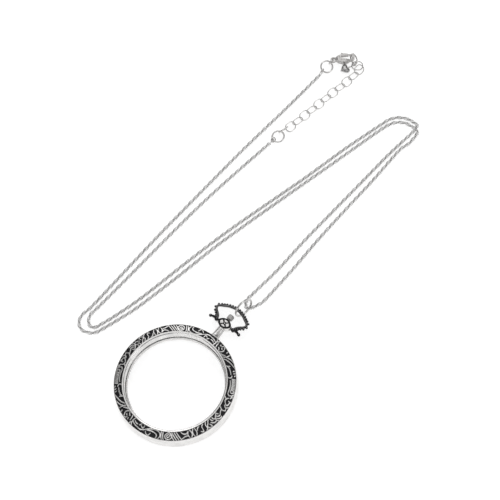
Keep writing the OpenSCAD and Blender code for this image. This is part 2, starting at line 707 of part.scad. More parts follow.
module lever_shape() {
    translate([0, 0, claw_mid_z - lever_t / 2])
        linear_extrude(lever_t)
            difference() {
                union() {
                    lever_bar(0);
                    translate([pivot_u + 1.4, claw_w / 2 - 0.1])
                        circle(d = thumb_d, $fn = 24);
                }
                translate([pivot_u, pivot_v])
                    circle(r = ear_r + lever_gap, $fn = 32);
            }
    translate([0, 0, claw_mid_z - lever_ear_t / 2])
        linear_extrude(lever_ear_t) {
            translate([pivot_u, pivot_v])
                circle(r = ear_r, $fn = 32);
            lever_bar(0);
        }
}

module clasp_lever() {
    color(silver)
        clasp_frame()
            difference() {
                intersection() {
                    lever_shape();
                    claw_side(0.1);
                }
                translate([pivot_u, pivot_v, 0])
                    cylinder(d = pivot_d + 2 * pivot_gap, h = claw_t, $fn = 32);
            }
}

module clasp_body() {
    color(silver)
        clasp_frame() {
            difference() {
                intersection() {
                    linear_extrude(claw_t) {
                        claw_outline();
                        translate([tail_u, 0])
                            circle(d = tail_eye_d, $fn = 32);
                    }
                    claw_side(0);
                }
                linear_extrude(claw_t)
                    claw_opening();
                translate([tail_u, 0, 0])
                    cylinder(d = tail_hole_d, h = claw_t, $fn = 32);
                linear_extrude(claw_t)
                    difference() {
                        lever_bar(lever_gap);
                        translate([pivot_u, pivot_v])
                            circle(r = ear_r, $fn = 32);
                    }
                translate([0, 0, claw_mid_z - lever_ear_t / 2 - lever_gap / 2])
                    linear_extrude(lever_ear_t + lever_gap) {
                        translate([pivot_u, pivot_v])
                            circle(r = ear_r + lever_gap, $fn = 32);
                        lever_bar(lever_gap);
                    }
            }
            intersection() {
                translate([pivot_u, pivot_v, 0])
                    cylinder(d = pivot_d, h = claw_t, $fn = 32);
                claw_side(0);
            }
        }
}

// One link of the extender, lying along X about the origin
module link() {
    arm = (link_l - link_w) / 2;
    r = (link_w - link_wire) / 2;
    for (side = [-1, 1]) {
        translate([side * arm, 0, 0])
            rotate(side * 90 - 90)
                rotate([0, 0, -90])
                    rotate_extrude(angle = 180, $fn = 48)
                        translate([r, 0])
                            circle(d = link_wire, $fn = 20);
        translate([-arm, side * r, 0])
            rotate([0, 90, 0])
                cylinder(d = link_wire, h = 2 * arm, $fn = 20);
    }
}

// The links between the first and the last roll to one side and the other by turns
function link_spot(i) = walk(smooth_line(EXT_ROUTE, 6), (i - 2) * link_pitch);
function link_place(i) =
    let (spot = link_spot(i),
         roll = (i % 2 == 0 ? -1 : 1) * link_roll,
         rise = link_wire / 2 + (link_w - link_wire) / 2 * sin(link_roll) + lying_gap)
    [spot[0][0], spot[0][1], rise, atan2(spot[1][1], spot[1][0]), roll];

row_end = link_spot(ext_links - 1)[0];

module ext_link(i) {
    color(silver)
        if (i == ext_links)
            beside(row_end, EXT_LAST_AT)
                link();
        else
            at(i == 1 ? EXT_FIRST_AT : link_place(i))
                link();
}

function link_name(i) = str("ext_link_", i < 10 ? "0" : "", i);

// A heart's outline one unit wide, its cleft towards +Y
function heart(a) =
    [16 * pow(sin(a), 3), 13 * cos(a) - 5 * cos(2 * a) - 2 * cos(3 * a) - cos(4 * a)] / 32;

// A heart puffed up on both faces: outlines that shrink towards the middle of each face
module puffed_heart() {
    n = heart_sides;
    levels = [for (j = [-heart_levels : heart_levels]) j * 90 / (heart_levels + 1)];
    rows = len(levels);
    points = concat(
        [for (e = levels, k = [0 : n - 1])
            let (p = heart(k * 360 / n) * charm_w * cos(e))
            [p[0], p[1], charm_t / 2 * sin(e)]],
        [[0, 0, -charm_t / 2], [0, 0, charm_t / 2]]);
    walls = [for (j = [0 : rows - 2], k = [0 : n - 1])
        let (a = j * n + k, b = j * n + (k + 1) % n)
        each [[a, b, b + n], [a, b + n, a + n]]];
    back = [for (k = [0 : n - 1]) [rows * n, (k + 1) % n, k]];
    front = [for (k = [0 : n - 1])
        [rows * n + 1, (rows - 1) * n + k, (rows - 1) * n + (k + 1) % n]];
    polyhedron(points = points, faces = concat(walls, back, front));
}

// The heart, its eye and the short neck between them, which are one casting
module charm() {
    eye_r = (charm_eye_d - charm_eye_wire) / 2;
    foot = on_ring(CHARM_EYE_AT, eye_r, CHARM_NECK_A);
    middle = [CHARM_AT[0], CHARM_AT[1], charm_t / 2 + lying_gap];
    reach = foot - middle;
    color(dark_silver) {
        at(CHARM_EYE_AT)
            ring(charm_eye_d, charm_eye_wire);
        translate(middle)
            rotate(CHARM_AT[2])
                puffed_heart();
        translate(middle)
            rotate([0, acos(reach[2] / norm(reach)), atan2(reach[1], reach[0])])
                cylinder(d = charm_neck_d, h = norm(reach), $fn = 24);
    }
}

bezel();
lens();
bow();
bail();
chain();
chain_eye_a();
chain_eye_b();
jump_ring_a();
jump_ring_b();
clasp_link();
clasp_body();
clasp_lever();
end_ring();
for (i = [1 : ext_links])
    ext_link(i);
charm();
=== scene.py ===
"""Looks of a magnifier pendant on a rope chain, lying on a white surface."""

import math

import bpy
import numpy as np
from mathutils import Matrix, Vector


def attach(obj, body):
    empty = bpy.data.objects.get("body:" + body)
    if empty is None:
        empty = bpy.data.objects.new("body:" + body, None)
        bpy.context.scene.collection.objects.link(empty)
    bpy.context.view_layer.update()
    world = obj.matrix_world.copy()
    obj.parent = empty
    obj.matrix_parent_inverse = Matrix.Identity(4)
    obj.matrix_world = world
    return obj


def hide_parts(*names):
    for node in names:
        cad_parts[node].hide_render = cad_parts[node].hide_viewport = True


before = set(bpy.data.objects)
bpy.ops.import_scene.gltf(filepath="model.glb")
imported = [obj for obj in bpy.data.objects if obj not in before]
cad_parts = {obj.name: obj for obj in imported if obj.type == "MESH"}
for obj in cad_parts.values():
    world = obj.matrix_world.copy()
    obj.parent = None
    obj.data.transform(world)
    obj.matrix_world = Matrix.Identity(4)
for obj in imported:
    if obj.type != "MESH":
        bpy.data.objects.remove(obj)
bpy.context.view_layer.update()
MM = 0.001
BODY = "necklace"

# ---------------------------------------------------------------- sizes in millimetres
OPENING_R = 18.9
RIM_R = 19.6
BAND_R = 22.8
BAND_W = BAND_R - RIM_R
CREST_Z = 7.35
BAND_Z = 6.45
RELIEF = 0.4
KNOB_Y = 29.6
AXIS_Z = 3.45
EAR_X = 2.9
KNOB_L, KNOB_W, KNOB_T = 6.0, 4.0, 3.1
KNOB_FLOOR_Z = AXIS_Z + 0.95        # the neck stays under the knob's sunk ground
CROWN_FLAT = 0.885                  # how far the crown's flats are cut in, of its round
BOW_W, BOW_RISE = 13.6, 7.5
BAR_R, BAR_SQUASH = 0.5, 1.4
BEADS_HALF, BEAD_R, BEAD_OUT, BEAD_CLEAR = 12, 0.47, 0.66, 0.9
LENS_EDGE, LENS_RISE, LENS_Z = 1.4, 1.9, 2.1
ROPE_R = 0.8
ROPE_STEP = 0.05

# Raised strokes of the band, three points each: angle from the neck, clockwise, and share of the
# band's width
STROKES = [
    [0, 0.70, 3.5, 0.66, 6.8, 0.52], [1.5, 0.40, 3.5, 0.42, 5.8, 0.30],
    [7.6, 0.68, 7.8, 0.40, 7.2, 0.06], [6, 0.95, 6.8, 0.85, 7.6, 0.68],
    [9.2, 0.92, 8.6, 0.78, 7.6, 0.68], [10.3, 0.66, 10.6, 0.38, 12, 0.06],
    [12.9, 0.80, 13.1, 0.72, 13.3, 0.64], [14.8, 0.70, 16.8, 0.95, 19, 0.70],
    [19, 0.70, 19.8, 0.38, 17.6, 0.08], [16, 0.60, 16.8, 0.56, 17.4, 0.50],
    [13.4, 0.36, 14.8, 0.30, 16.2, 0.14], [22.6, 0.96, 22.9, 0.86, 23.3, 0.74],
    [20.6, 0.10, 22.8, 0.20, 25, 0.44], [26.6, 0.90, 26.8, 0.50, 25.4, 0.08],
    [27.8, 0.48, 30.2, 0.76, 34.5, 0.98], [28, 0.12, 33, 0.56, 40.5, 0.97],
    [37.4, 0.48, 37.2, 0.30, 36.4, 0.10], [36.4, 0.12, 40, 0.36, 46.5, 0.42],
    [43, 0.86, 43.4, 0.80, 43.7, 0.72], [45.6, 0.92, 45.9, 0.84, 46, 0.74],
    [48, 0.92, 48.4, 0.86, 48.8, 0.80], [48, 0.50, 49.4, 0.48, 50.4, 0.34],
    [50.4, 0.34, 50.2, 0.20, 49.4, 0.10], [51.4, 0.52, 57.5, 0.58, 64, 0.50],
    [64.6, 0.90, 66, 0.68, 64.4, 0.46], [53, 0.30, 59, 0.36, 66, 0.26],
    [66, 0.98, 68.4, 0.80, 68.8, 0.55], [68.8, 0.55, 68.6, 0.40, 67.2, 0.28],
    [70.6, 0.97, 69.6, 0.84, 71.6, 0.72], [71.6, 0.56, 74, 0.26, 77.4, 0.38],
    [77.4, 0.38, 79.2, 0.66, 76.4, 0.80], [76.4, 0.80, 75, 0.80, 74.6, 0.62],
    [75.4, 0.98, 75, 0.90, 74.8, 0.80], [70.8, 0.08, 72, 0.16, 73.4, 0.28],
    [79.6, 0.97, 81.6, 0.72, 79.8, 0.42], [82.6, 0.74, 84.6, 0.78, 85.2, 0.48],
    [85.2, 0.48, 84.4, 0.24, 82.8, 0.06], [85.2, 0.38, 87.6, 0.42, 90.2, 0.62],
    [94.8, 0.98, 96.4, 0.58, 91.6, 0.10], [90.4, 0.84, 93.4, 0.84, 95, 0.58],
    [90.4, 0.60, 92.6, 0.58, 93.8, 0.36], [90.8, 0.36, 91.3, 0.30, 91.8, 0.20],
    [97.2, 0.74, 99.6, 0.76, 102.2, 0.50], [97, 0.46, 98, 0.36, 98, 0.14],
    [99.6, 0.46, 100.4, 0.34, 100.6, 0.12], [104, 0.56, 103.2, 0.86, 105.2, 0.94],
    [105.2, 0.94, 107, 0.66, 105, 0.38], [105, 0.38, 104, 0.20, 102.4, 0.08],
    [109.8, 0.92, 108.2, 0.84, 108, 0.60], [108, 0.60, 107.8, 0.30, 106.2, 0.08],
    [114.8, 0.72, 112.8, 0.86, 112.2, 0.50], [112.2, 0.50, 112, 0.28, 110.2, 0.12],
    [117.4, 0.44, 116.6, 0.22, 114.8, 0.14], [120, 0.90, 118.8, 0.55, 119.8, 0.12],
    [121.6, 0.94, 122.8, 0.50, 121.4, 0.08], [125, 0.92, 123.6, 0.50, 125.4, 0.10],
    [126.6, 0.88, 127.8, 0.55, 127, 0.24], [128.6, 0.66, 131.2, 0.70, 134.6, 0.92],
    [127, 0.18, 130.2, 0.42, 134.2, 0.16], [143.6, 0.52, 145.4, 0.78, 147.6, 0.86],
    [147.6, 0.86, 149.8, 0.76, 151, 0.50], [151, 0.50, 149.4, 0.26, 146.6, 0.10],
    [146.6, 0.10, 144.6, 0.28, 143.6, 0.52], [145.9, 0.40, 147, 0.60, 148.6, 0.62],
    [146.8, 0.30, 148.2, 0.40, 149.4, 0.52], [151.8, 0.94, 153, 0.50, 153, 0.06],
    [153.6, 0.94, 154.9, 0.50, 155, 0.06], [157.2, 0.92, 155.6, 0.60, 156.8, 0.26],
    [156.8, 0.26, 159.4, 0.08, 164, 0.06], [159.6, 0.92, 159.2, 0.60, 161.4, 0.42],
    [161.4, 0.42, 165.4, 0.34, 169.6, 0.44], [163, 0.06, 168, 0.20, 172, 0.46],
    [172, 0.46, 176, 0.72, 180, 0.70], [165.6, 0.60, 167.8, 0.94, 171, 0.62],
    [174, 0.14, 174.8, 0.46, 177, 0.34], [177.8, 0.12, 178.6, 0.28, 179.6, 0.36],
]
# Repeated strokes: the first one, the step in degrees and how many
ROWS = [
    ([51.4, 0.60, 51.65, 0.76, 51.9, 0.92], 1.45, 9),
    ([134.6, 0.94, 136.6, 0.56, 139.2, 0.08], 2.4, 4),
]
# Half of the bow's bar and its scroll, as shares of half the width and of the rise
BOW_LINE = [(0.58, 0.02), (0.64, 0.18), (0.8, 0.32), (0.98, 0.46), (1, 0.64), (0.72, 0.795),
            (0.427, 0.93), (0, 1)]
SCROLL_LINE = [(0.6, 0.06), (0.79, 0.03), (1, -0.02)]

# Middle of the chain: x, y and the lift off the surface
CHAIN_ROUTE = [
    [-38.06, 142.45, 0], [-39.5, 123.6, 0], [-41.2, 106.2, 0], [-42.7, 89, 0], [-44.9, 55.6, 0],
    [-45.8, 39.2, 0], [-47.1, 7.3, 0], [-47.8, 2.3, 0], [-47.7, -0.6, 0], [-46.4, -2.7, 0],
    [-44.2, -3.9, 0], [-41.7, -3.5, 0], [-39.1, -1.9, 0], [-37.6, 1.2, 0], [-35.1, 8, 0],
    [-32.3, 16.8, 0], [-28.1, 35.1, 0], [-24.2, 53.9, 0], [-19.4, 72.6, 0], [-14.2, 91.6, 0],
    [-8.9, 110.8, 0], [-3.6, 130.4, 0], [-1.4, 137.8, 0], [-0.2, 140.2, 0], [1.3, 141.9, 0],
    [3.9, 143.4, 0], [6.5, 143.6, 0], [8.9, 143.5, 0], [10.5, 142.6, 0], [10.8, 139.7, 0],
    [10.5, 135.8, 0], [9.3, 131.2, 0], [8.6, 113.8, 0], [7.5, 96.8, 0], [6.6, 80.2, 0],
    [6.2, 63.7, 0], [5.4, 47.9, 0.1], [4.85, 44.75, 0.5], [4.2, 42.75, 1.1], [3.55, 41.05, 1.6],
    [2.5, 40.35, 2.05], [1.45, 40.65, 1.75], [0.4, 42.35, 1.3], [0, 44.35, 0.75], [0.1, 46.5, 0.25],
    [0.2, 48.5, 0], [1.6, 60.4, 0], [2.5, 76.8, 0], [3.9, 93.3, 0], [5.4, 110.2, 0],
    [6.9, 127.4, 0], [8.2, 137, 0], [8.9, 140.4, 0.8], [9.4, 142.6, 1.75], [8.9, 144.6, 1.45],
    [6.3, 145.6, 0.3], [3.4, 145.5, 0], [0.1, 143.9, 0], [-2.1, 141.3, 0], [-3.2, 138.5, 0],
    [-6.1, 128.9, 0], [-9, 119, 0], [-14, 99.5, 0], [-19.4, 80.5, 0], [-24.6, 61.7, 0],
    [-29, 42.9, 0], [-32.9, 24.3, 0], [-35.1, 15.3, 0], [-37.8, 6.6, 0], [-39.3, 2.6, 0],
    [-39.9, 0.8, 0], [-41.2, -0.7, 0], [-43.2, -0.5, 0], [-44.7, 1.1, 0], [-45.4, 3.4, 0],
    [-45, 6.4, 0], [-43.8, 21.9, 0], [-41.5, 54.1, 0], [-39.9, 70.6, 0], [-37.7, 87.2, 0],
    [-35.16, 104.2, 0],
]
# Middle of the extender: x and y
EXT_ROUTE = [
    [-26.34, 153.37], [-26.41, 149.52], [-27.03, 145.56], [-28.57, 137.96], [-30.8, 126.3],
    [-33, 114.9], [-34.4, 109],
]
LINK_L, LINK_W, LINK_WIRE, LINK_PITCH, LINK_ROLL = 4.95, 3.9, 0.45, 3.92, 24
# Rings: node, place (x, y, z, heading, tilt), outside diameter, wire, angle of the cut or None
RINGS = [
    ("bail", (1.74, 39.08, 4.28, -99, 98.9), 8.6, 0.85, 250),
    ("chain_eye_a", (-38.44, 143.95, 1.2, 82, 102), 2.4, 0.5, None),
    ("chain_eye_b", (-34.94, 105.69, 1.05, 75, 58), 2.4, 0.5, None),
    ("jump_ring_a", (-38.03, 146.55, 1.35, 67, 23), 5.6, 0.7, 130),
    ("jump_ring_b", (-34.22, 107.99, 1.33, -14, 9), 5.6, 0.7, 200),
    ("clasp_link", (-37.86, 149.46, 1.53, 80, 104), 3.0, 0.5, 60),
    ("end_ring", (-30.59, 155.5, 2.56, -21, 73.5), 5.05, 0.65, 40),
]
# The extender's two end links: x, y, z, heading, tilt
EXT_FIRST_AT = (-27.89, 154.29, 1.41, -148.5, -38.5)
EXT_LAST_AT = (-34.21, 111.55, 1.83, -107, 67.5)


# ---------------------------------------------------------------- node helpers
GRAIN = 900                         # scale of the silver's fine grain, in the part's metres


def new_material(name):
    mat = bpy.data.materials.new(name)
    mat.use_nodes = True
    nodes, links = mat.node_tree.nodes, mat.node_tree.links
    return mat, nodes, links, nodes["Principled BSDF"]


def noise_node(nodes, links, scale, detail=4.0, distortion=0.0):
    coord = nodes.new("ShaderNodeTexCoord")
    n = nodes.new("ShaderNodeTexNoise")
    n.inputs["Scale"].default_value = scale
    n.inputs["Detail"].default_value = detail
    n.inputs["Distortion"].default_value = distortion
    links.new(coord.outputs["Object"], n.inputs["Vector"])
    return n


def ramp(nodes, links, source, stops):
    r = nodes.new("ShaderNodeValToRGB")
    el = r.color_ramp.elements
    while len(el) < len(stops):
        el.new(0.5)
    for e, (pos, value) in zip(el, stops):
        e.position = pos
        e.color = (value, value, value, 1) if np.isscalar(value) else (*value, 1)
    links.new(source, r.inputs["Fac"])
    return r


def mix_color(nodes, links, fac, a, b):
    m = nodes.new("ShaderNodeMix")
    m.data_type = "RGBA"
    for socket, value in ((m.inputs[6], a), (m.inputs[7], b)):
        if isinstance(value, tuple):
            socket.default_value = (*value, 1)
        else:
            links.new(value, socket)
    links.new(fac, m.inputs[0])
    return m.outputs[2]


def silver(name, light, rough, bump, attribute=None, dark=None, dark_rough=0.4, metal=1.0):
    """Polished plating with faint wear, blackened where the attribute is high: patina on some
    parts, painted shade on others.
    """
    mat, nodes, links, bsdf = new_material(name)
    bsdf.inputs["Metallic"].default_value = metal
    wear = noise_node(nodes, links, GRAIN * 0.35, 5.0, 0.4)
    tint = ramp(nodes, links, wear.outputs["Fac"],
                [(0.3, tuple(c * 0.86 for c in light)), (0.62, light)])
    colour = tint.outputs["Color"]
    shine = ramp(nodes, links, wear.outputs["Fac"], [(0.3, rough * 1.5), (0.65, rough)])
    roughness = shine.outputs["Color"]
    if attribute:
        attr = nodes.new("ShaderNodeAttribute")
        attr.attribute_name = attribute
        grain = noise_node(nodes, links, GRAIN * 1.5, 3.0)
        add = nodes.new("ShaderNodeMath")
        add.operation = "MULTIPLY_ADD"
        add.inputs[1].default_value = 0.35
        links.new(grain.outputs["Fac"], add.inputs[0])
        links.new(attr.outputs["Fac"], add.inputs[2])
        mask = ramp(nodes, links, add.outputs[0], [(0.42, 0.0), (0.85, 1.0)])
        colour = mix_color(nodes, links, mask.outputs["Color"], colour, dark)
        roughness = mix_color(nodes, links, mask.outputs["Color"], roughness,
                              (dark_rough, dark_rough, dark_rough))
    links.new(colour, bsdf.inputs["Base Color"])
    links.new(roughness, bsdf.inputs["Roughness"])
    fine = noise_node(nodes, links, GRAIN)
    b = nodes.new("ShaderNodeBump")
    b.inputs["Strength"].default_value = bump
    b.inputs["Distance"].default_value = 0.00003
    links.new(fine.outputs["Fac"], b.inputs["Height"])
    links.new(b.outputs["Normal"], bsdf.inputs["Normal"])
    return mat


# ---------------------------------------------------------------- mesh helpers, in millimetres
def plain_mesh(name, points, faces):
    mesh = bpy.data.meshes.new(name)
    mesh.from_pydata(np.asarray(points).tolist(), [], [list(map(int, f)) for f in faces])
    obj = bpy.data.objects.new(name, mesh)
    bpy.context.scene.collection.objects.link(obj)
    return mesh, obj


def piece(name, points, faces, material, nodes, body=BODY):
    """A mesh object from points in millimetres, riding on its body."""
    mesh, obj = plain_mesh(name, np.asarray(points, float) * MM, faces)
    mesh.validate()
    mesh.polygons.foreach_set("use_smooth", [True] * len(mesh.polygons))
    mesh.update()
    mesh.materials.append(material)
    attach(obj, body)
    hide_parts(*nodes)
    return obj


def read_rows(mesh, what="co"):
    """A mesh's vertex places or normals, as rows of three."""
    values = np.zeros(len(mesh.vertices) * 3)
    mesh.vertices.foreach_get(what, values)
    return values.reshape(-1, 3)


def set_attribute(obj, name, values):
    a = obj.data.attributes.new(name, "FLOAT", "POINT")
    a.data.foreach_set("value", np.asarray(values, np.float32))


def join(*shells):
    points, faces, base = [], [], 0
    for p, f in shells:
        points.append(np.asarray(p, float))
        faces += [[i + base for i in q] for q in f]
        base += len(p)
    return np.vstack(points), faces


def grid_faces(rows, cols, close_cols=True, flip=False):
    faces = []
    for j in range(rows - 1):
        for k in range(cols if close_cols else cols - 1):
            q = [j * cols + k, j * cols + (k + 1) % cols,
                 (j + 1) * cols + (k + 1) % cols, (j + 1) * cols + k]
            faces.append(q[::-1] if flip else q)
    return faces


def lathe(profile, sides, close=False, flip=False):
    """A profile of (radius, height) turned about Z, joined to its start where close is set."""
    profile = list(profile) + ([profile[0]] if close else [])
    a = np.linspace(0, 2 * np.pi, sides, endpoint=False)
    points = np.vstack([np.c_[r * np.cos(a), r * np.sin(a), np.full(sides, z)] for r, z in profile])
    return points, grid_faces(len(profile), sides, True, flip)


def along_y(points, y, z):
    """Stands a lathed shape along +Y at a height."""
    p = np.asarray(points)
    return np.c_[p[:, 0], p[:, 2] + y, -p[:, 1] + z]


def along_x(points, y, z):
    p = np.asarray(points)
    return np.c_[p[:, 2], p[:, 0] + y, p[:, 1] + z]


def fillet(corners, steps=4):
    """A closed section from corners (r, z, rounding)."""
    out = []
    n = len(corners)
    for i, (r, z, f) in enumerate(corners):
        p = np.array([r, z])
        a = np.array(corners[i - 1][:2]) - p
        b = np.array(corners[(i + 1) % n][:2]) - p
        fa = min(f, np.linalg.norm(a) * 0.45)
        fb = min(f, np.linalg.norm(b) * 0.45)
        if f <= 0:
            out.append(p)
            continue
        pa, pb = p + a / np.linalg.norm(a) * fa, p + b / np.linalg.norm(b) * fb
        for t in np.linspace(0, 1, steps + 1):
            out.append(pa * (1 - t) ** 2 + 2 * p * t * (1 - t) + pb * t * t)
    return out


def bent_line(p, steps):
    """A smooth line through points, as the CAD's own."""
    p = np.asarray(p, float)
    out = []
    for i in range(len(p) - 1):
        a, b, c, d = p[max(i - 1, 0)], p[i], p[i + 1], p[min(i + 2, len(p) - 1)]
        for k in range(steps):
            t = k / steps
            out.append(b + (c - a) * t / 2 + (2 * a - 5 * b + 4 * c - d) * t * t / 2
                       + (3 * b - a - 3 * c + d) * t ** 3 / 2)
    out.append(p[-1])
    return np.array(out)


def run_along(line):
    """Distance from the line's start to each of its points."""
    return np.r_[0, np.cumsum(np.linalg.norm(np.diff(line, axis=0), axis=1))]


def level(line):
    """A flat line laid at z = 0."""
    return np.c_[line, np.zeros(len(line))]


def frames_along(points, closed=False):
    """Directions and two steady normals along a line."""
    p = np.asarray(points, float)
    t = np.roll(p, -1, 0) - np.roll(p, 1, 0)
    if not closed:
        t[0], t[-1] = p[1] - p[0], p[-1] - p[-2]
    t /= np.linalg.norm(t, axis=1)[:, None]
    start = np.array([0, 0, 1.0]) if abs(t[0][2]) < 0.9 else np.array([1.0, 0, 0])
    n = start - t[0] * start.dot(t[0])
    n /= np.linalg.norm(n)
    normals = []
    for d in t:
        n = n - d * n.dot(d)
        n /= np.linalg.norm(n)
        normals.append(n)
    normals = np.array(normals)
    return t, normals, np.cross(t, normals)


def tube(points, radius, sides=12, closed=False, flat=1.0):
    """A swept rod. radius may be a list; flat squeezes it along the first normal."""
    p = np.asarray(points, float)
    r = np.broadcast_to(np.asarray(radius, float), (len(p),))
    t, n, b = frames_along(p, closed)
    a = np.linspace(0, 2 * np.pi, sides, endpoint=False)
    rings = [c + q * (flat * np.outer(np.cos(a), u) + np.outer(np.sin(a), v))
             for c, q, u, v in zip(p, r, n, b)]
    if closed:
        rings.append(rings[0])
        pts = np.vstack(rings[:-1])
        faces = [[i % len(pts) for i in f] for f in grid_faces(len(rings), sides)]
        return pts, faces
    pts = np.vstack(rings)
    faces = grid_faces(len(rings), sides)
    faces += [list(range(sides))[::-1], [len(pts) - sides + k for k in range(sides)]]
    return pts, faces


def ball(centre, r, rows=12, cols=18, squash=1.0):
    e = np.linspace(-np.pi / 2, np.pi / 2, rows + 1)[1:-1]
    a = np.linspace(0, 2 * np.pi, cols, endpoint=False)
    pts = np.vstack([np.c_[np.cos(x) * np.cos(a), np.cos(x) * np.sin(a), np.full(cols, np.sin(x))]
                     for x in e])
    pts = np.vstack([pts, [[0, 0, -1], [0, 0, 1]]]) * [1, 1, squash] * r + np.asarray(centre)
    faces = grid_faces(rows - 1, cols)
    low, high, top = len(pts) - 2, len(pts) - 1, (rows - 2) * cols
    faces += [[low, (k + 1) % cols, k] for k in range(cols)]
    faces += [[high, top + k, top + (k + 1) % cols] for k in range(cols)]
    return pts, faces


def cast(points, faces, voxel, rounds):
    """Melts closed shells into one smooth skin; works in millimetres and returns points, faces."""
    obj = plain_mesh("melt", points, faces)[1]
    melt = obj.modifiers.new("melt", "REMESH")
    melt.mode = "VOXEL"
    melt.voxel_size = voxel
    relax = obj.modifiers.new("relax", "SMOOTH")
    relax.factor = 0.5
    relax.iterations = rounds
    done = obj.evaluated_get(bpy.context.evaluated_depsgraph_get())
    out = bpy.data.meshes.new_from_object(done)
    pts, polys = read_rows(out), [list(f.vertices) for f in out.polygons]
    bpy.data.objects.remove(obj)
    bpy.data.meshes.remove(out)
    return pts, polys


def hollows(obj, spread, rounds):
    """How far each vertex lies in a recess, 0 on ridges to 1 in recesses."""
    mesh = obj.data
    n = len(mesh.vertices)
    co, no = read_rows(mesh) / MM, read_rows(mesh, "normal")
    e = np.zeros(len(mesh.edges) * 2, int)
    mesh.edges.foreach_get("vertices", e)
    e = e.reshape(-1, 2)
    deg = np.bincount(e.ravel(), minlength=n)[:, None]

    def average(v):
        out = np.zeros_like(v)
        for c in range(v.shape[1]):
            out[:, c] = (np.bincount(e[:, 0], v[e[:, 1], c], n)
                         + np.bincount(e[:, 1], v[e[:, 0], c], n))
        return out / np.maximum(deg, 1)

    smooth = co
    for _ in range(rounds):
        smooth = average(smooth)
    depth = ((smooth - co) * no).sum(1)
    return np.clip(0.5 + depth / spread, 0, 1)


def turn(place):
    """Rotation of a ring's place: tilt about X, then heading about Z."""
    h, t = math.radians(place[3]), math.radians(place[4])
    z = np.array([[math.cos(h), -math.sin(h), 0], [math.sin(h), math.cos(h), 0], [0, 0, 1]])
    x = np.array([[1, 0, 0], [0, math.cos(t), -math.sin(t)], [0, math.sin(t), math.cos(t)]])
    return z @ x


def put(points, place):
    return np.asarray(points) @ turn(place).T + np.array(place[:3])


def wire_ring(d, wire, cut, steps=72, sides=14):
    """A ring of round wire; a cut ring has two flat ends that almost meet."""
    r = (d - wire) / 2
    if cut is None:
        a = np.linspace(0, 2 * np.pi, steps, endpoint=False)
    else:
        slit = 0.035 / r
        a = np.linspace(math.radians(cut) + slit, math.radians(cut) + 2 * np.pi - slit, steps)
    return tube(np.c_[r * np.cos(a), r * np.sin(a), 0 * a], wire / 2, sides, cut is None)


def oval(length, width, wire, sides=10, steps=20):
    """A link: two half rings and two straight sides, lying along X."""
    r, arm = (width - wire) / 2, (length - width) / 2
    a = np.linspace(-np.pi / 2, np.pi / 2, steps)
    right = np.c_[arm + r * np.cos(a), r * np.sin(a)]
    left = np.c_[-arm - r * np.cos(a), -r * np.sin(a)]
    return tube(level(np.vstack([right, left])), wire / 2, sides, True)


# ---------------------------------------------------------------- materials
bright = silver("bright_silver", (0.66, 0.65, 0.64), 0.16, 0.12)
# The rope's silver: the attribute paints a dark reflection on its strands' crests.
rope = silver("rope_silver", (1.0, 0.995, 0.99), 0.3, 0.1, "crest", (0.55, 0.545, 0.54), metal=0.3)
# A darker grey silver for the crown.
crown_grey = silver("crown_grey_silver", (0.42, 0.412, 0.405), 0.26, 0.12, "patina_and_painted_light", (0.08, 0.08, 0.08))
# The clasp's silver, with painted shade in its recesses through the attribute.
warm = silver("warm_silver", (0.98, 0.96, 0.945), 0.26, 0.1, "patina_and_painted_light", (0.14, 0.135, 0.13),
              metal=0.42)
antique = silver("antique_silver", (0.8, 0.79, 0.78), 0.15, 0.12, "patina_and_painted_light", (0.03, 0.03, 0.032),
                 0.42)
shadowed = silver("dark_silver", (0.5, 0.49, 0.485), 0.2, 0.2, "patina_and_painted_light", (0.03, 0.03, 0.032))

glass, g_nodes, g_links, g_bsdf = new_material("clear_glass")
g_bsdf.inputs["Base Color"].default_value = (1, 1, 1, 1)
g_bsdf.inputs["Transmission Weight"].default_value = 1.0
g_bsdf.inputs["IOR"].default_value = 1.5
g_noise = noise_node(g_nodes, g_links, 60, 2.0)
g_rough = ramp(g_nodes, g_links, g_noise.outputs["Fac"], [(0.3, 0.0), (0.8, 0.012)])
g_links.new(g_rough.outputs["Color"], g_bsdf.inputs["Roughness"])


# ---------------------------------------------------------------- bezel
def on_band(s, r):
    rad = RIM_R + BAND_W * r
    return np.array([rad * math.sin(math.radians(s)), rad * math.cos(math.radians(s))])


def all_strokes():
    rows = [list(k) for k in STROKES]
    for first, step, count in ROWS:
        rows += [[first[0] + step * i, first[1], first[2] + step * i, first[3],
                  first[4] + step * i, first[5]] for i in range(count)]
    return rows


def band_relief(xy, angles):
    """Height of the ornament, 0 on the ground and 1 on the crests."""
    height = np.zeros(xy.shape[:2])
    parts = 12
    for half in (0, 180):
        for k in all_strokes():
            a, b, c = (on_band(k[i] + half, k[i + 1]) for i in (0, 2, 4))
            bend = b - (a + c) / 2
            t = np.linspace(0, 1, parts + 1)[:, None]
            line = a + (c - a) * t + bend * 4 * t * (1 - t)
            lo = min(k[0], k[2], k[4]) + half - 3
            hi = max(k[0], k[2], k[4]) + half + 3
            near = np.nonzero(((angles - lo) % 360) <= (hi - lo))[0]
            spot = xy[:, near]
            best = np.full(spot.shape[:2], 9.0)
            for i in range(parts):
                p, q = line[i], line[i + 1]
                d = q - p
                u = np.clip(((spot - p) @ d) / (d @ d), 0, 1)
                dist = np.linalg.norm(spot - p - u[..., None] * d, axis=2)
                w = 0.2 + 0.05 * math.sin(math.pi * (i + 0.5) / parts)
                best = np.minimum(best, dist - w)
            f = np.clip((0.1 - best) / 0.2, 0, 1)
            f = f * f * (3 - 2 * f)
            height[:, near] = np.maximum(height[:, near], f)
    return height


